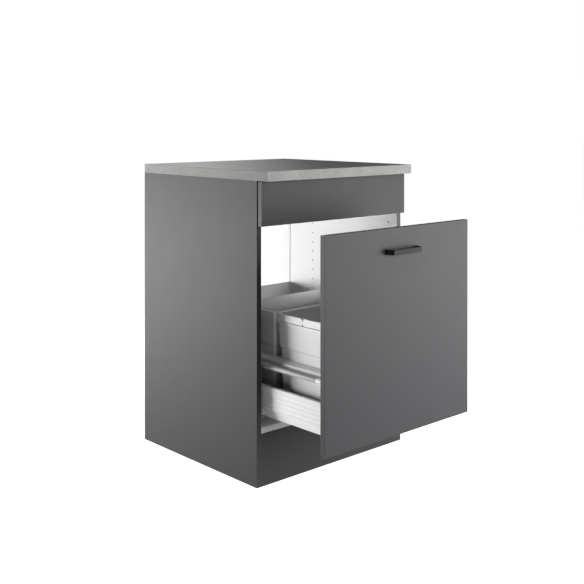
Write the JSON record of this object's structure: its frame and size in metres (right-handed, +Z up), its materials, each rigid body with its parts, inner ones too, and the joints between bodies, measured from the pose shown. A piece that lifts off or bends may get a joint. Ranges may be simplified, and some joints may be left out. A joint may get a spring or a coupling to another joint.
{
  "type": "sink base cabinet",
  "caption": "Floor-standing sink base cabinet with worktop, fixed apron and a pull-out front that carries a metal-sided drawer and two lift-out waste bins with folding bows.",
  "frame": {"origin": "on the floor, under the middle of the front edges of the side panels", "axes": "+X to the right as seen from the front, +Y towards the wall, +Z up; the pull-out opens towards -Y"},
  "size_m": [0.6, 0.8466, 0.88],
  "materials": {
    "graphite_board": "fine matt melamine, dark grey outside and white inside",
    "graphite_edge": "matt edge band",
    "white_board": "fine matt white melamine",
    "white_edge": "matt edge band",
    "white_fibreboard": "painted fibreboard",
    "concrete_laminate": "speckled concrete-look laminate",
    "concrete_edge": "speckled concrete-look edge band",
    "black_metal": "black, satin",
    "white_coated_steel": "satin powder coat",
    "grey_coated_steel": "satin powder coat",
    "silver_coated_tube": "satin coat",
    "zinc_steel": "zinc plated",
    "zinc_casting": "die cast, dull",
    "beech": "fluted hardwood",
    "grey_plastic": "fine texture, light grey",
    "white_nylon": "moulded",
    "black_nylon": "moulded",
    "clear_rubber": "soft, translucent"
  },
  "bodies": {
    "carcass": {"side_panel_left": "graphite_board", "side_panel_right": "graphite_board", "side_edging": "graphite_edge", "bottom_panel": "white_board", "bottom_edging": "white_edge", "plinth_panel": "graphite_board", "front_rail": "white_board", "rear_rail": "white_board", "back_panel": "white_fibreboard", "back_panel_screws": "zinc_steel", "cam_locks": "zinc_casting", "cam_bolts": "zinc_steel", "dowels": "beech", "worktop_board": "concrete_laminate", "worktop_edging": "concrete_edge", "worktop_brackets": "zinc_steel", "worktop_bracket_screws": "zinc_steel", "apron_panel": "graphite_board", "apron_edging": "graphite_edge", "apron_spacers": "black_nylon", "apron_screws": "zinc_steel", "runner_left": "grey_coated_steel", "runner_right": "grey_coated_steel", "runner_screws": "zinc_steel", "front_roller_axles": "zinc_steel"},
    "pullout": {"pullout_front": "graphite_board", "pullout_edging": "graphite_edge", "handle": "black_metal", "handle_screws": "zinc_steel", "front_bumpers": "clear_rubber", "drawer_side_left": "white_coated_steel", "drawer_side_right": "white_coated_steel", "drawer_bottom": "white_board", "drawer_bottom_screws": "zinc_steel", "drawer_back": "white_board", "front_brackets": "zinc_steel", "front_bracket_screws": "zinc_steel", "rear_brackets": "white_coated_steel", "rear_bracket_screws": "zinc_steel", "gallery_rail_left": "silver_coated_tube", "gallery_rail_right": "silver_coated_tube", "rail_connectors": "white_nylon", "rail_connector_screws": "zinc_steel", "rear_roller_axles": "zinc_steel", "bin_frame": "grey_plastic", "frame_ledge": "grey_coated_steel", "frame_ledge_screws": "zinc_steel"},
    "front_roller_left": {"front_roller_left": "white_nylon"},
    "front_roller_right": {"front_roller_right": "white_nylon"},
    "rear_roller_left": {"rear_roller_left": "white_nylon"},
    "rear_roller_right": {"rear_roller_right": "white_nylon"},
    "front_bin": {"front_bin": "grey_plastic", "front_bin_bow_stops": "black_nylon"},
    "front_bin_front_bow": {"front_bin_front_bow": "grey_plastic"},
    "front_bin_rear_bow": {"front_bin_rear_bow": "grey_plastic"},
    "rear_bin": {"rear_bin": "grey_plastic", "rear_bin_bow_stops": "black_nylon"},
    "rear_bin_front_bow": {"rear_bin_front_bow": "grey_plastic"},
    "rear_bin_rear_bow": {"rear_bin_rear_bow": "grey_plastic"}
  },
  "joints": [
    {"name": "pullout_slide", "type": "slide", "parent": "carcass", "child": "pullout", "axis": [0, -1, 0], "range_m": [-0.2486, 0.0914]},
    {"name": "front_bin_lift", "type": "slide", "parent": "pullout", "child": "front_bin", "axis": [0, 0, 1], "range_m": [0, 0.15]},
    {"name": "rear_bin_lift", "type": "slide", "parent": "pullout", "child": "rear_bin", "axis": [0, 0, 1], "range_m": [0, 0.15]},
    {"name": "front_bin_front_bow_hinge", "type": "hinge", "parent": "front_bin", "child": "front_bin_front_bow", "pos_m": [0, -0.13775, 0.4718], "axis": [-1, 0, 0], "range_deg": [0, 90]},
    {"name": "front_bin_rear_bow_hinge", "type": "hinge", "parent": "front_bin", "child": "front_bin_rear_bow", "pos_m": [0, -0.11725, 0.4718], "axis": [1, 0, 0], "range_deg": [0, 90]},
    {"name": "rear_bin_front_bow_hinge", "type": "hinge", "parent": "rear_bin", "child": "rear_bin_front_bow", "pos_m": [0, 0.06775, 0.4718], "axis": [-1, 0, 0], "range_deg": [0, 90]},
    {"name": "rear_bin_rear_bow_hinge", "type": "hinge", "parent": "rear_bin", "child": "rear_bin_rear_bow", "pos_m": [0, 0.08825, 0.4718], "axis": [1, 0, 0], "range_deg": [0, 90]},
    {"name": "front_roller_left_spin", "type": "hinge", "parent": "carcass", "child": "front_roller_left", "pos_m": [-0.2689, 0.0145, 0.2042], "axis": [1, 0, 0], "continuous": true},
    {"name": "front_roller_right_spin", "type": "hinge", "parent": "carcass", "child": "front_roller_right", "pos_m": [0.2689, 0.0145, 0.2042], "axis": [1, 0, 0], "continuous": true},
    {"name": "rear_roller_left_spin", "type": "hinge", "parent": "pullout", "child": "rear_roller_left", "pos_m": [-0.27655, 0.1854, 0.2042], "axis": [1, 0, 0], "continuous": true},
    {"name": "rear_roller_right_spin", "type": "hinge", "parent": "pullout", "child": "rear_roller_right", "pos_m": [0.27655, 0.1854, 0.2042], "axis": [1, 0, 0], "continuous": true}
  ],
  "couplings": [
    {"joint": "front_roller_left_spin", "follows": "pullout_slide", "rad_per_m": 100},
    {"joint": "front_roller_right_spin", "follows": "pullout_slide", "rad_per_m": 100},
    {"joint": "rear_roller_left_spin", "follows": "pullout_slide", "rad_per_m": 100},
    {"joint": "rear_roller_right_spin", "follows": "pullout_slide", "rad_per_m": 100}
  ]
}
